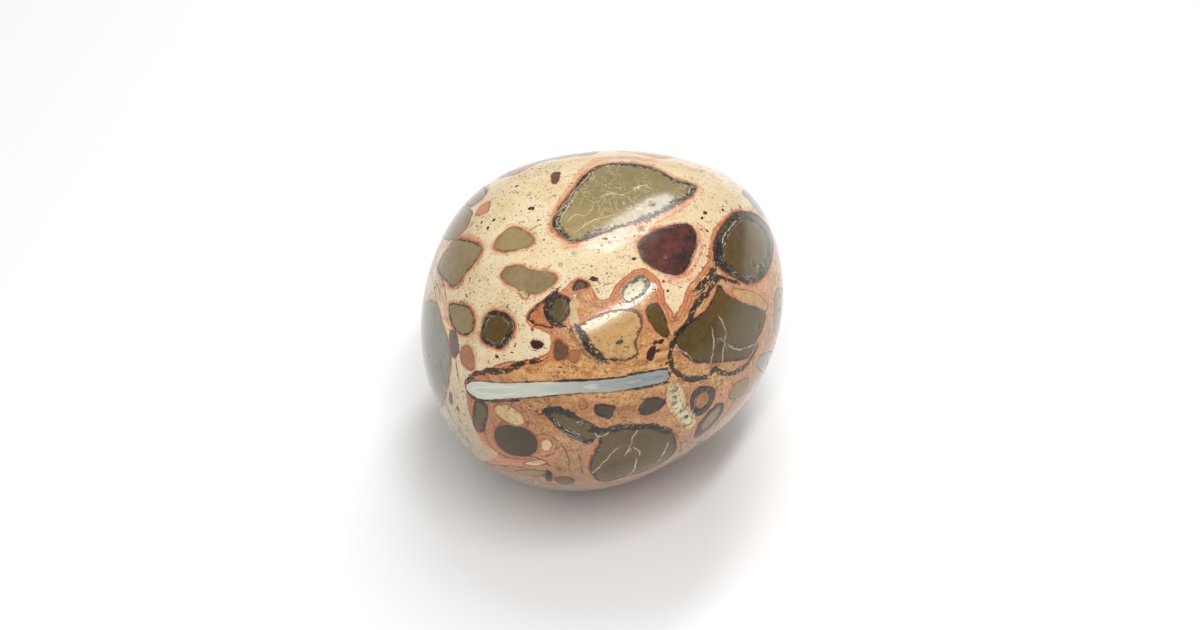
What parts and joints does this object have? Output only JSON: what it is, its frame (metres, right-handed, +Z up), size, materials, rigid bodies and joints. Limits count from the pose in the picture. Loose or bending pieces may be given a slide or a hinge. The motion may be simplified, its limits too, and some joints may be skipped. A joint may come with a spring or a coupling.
{
  "type": "tumbled leopardite stone",
  "caption": "Rounded polished tumbled stone of spotted cream, tan and olive volcanic rock with a pale vein; rests on a small worn flat spot.",
  "frame": {"origin": "middle of the stone's footprint box, on the surface that it rests on", "axes": "+Z up, the side that the picture shows towards -Y, the stone's longest way along X"},
  "size_m": [0.0454, 0.0448, 0.0415],
  "materials": {
    "polished_rock": "polished"
  },
  "bodies": {
    "root": {"stone": "polished_rock"}
  },
  "joints": []
}
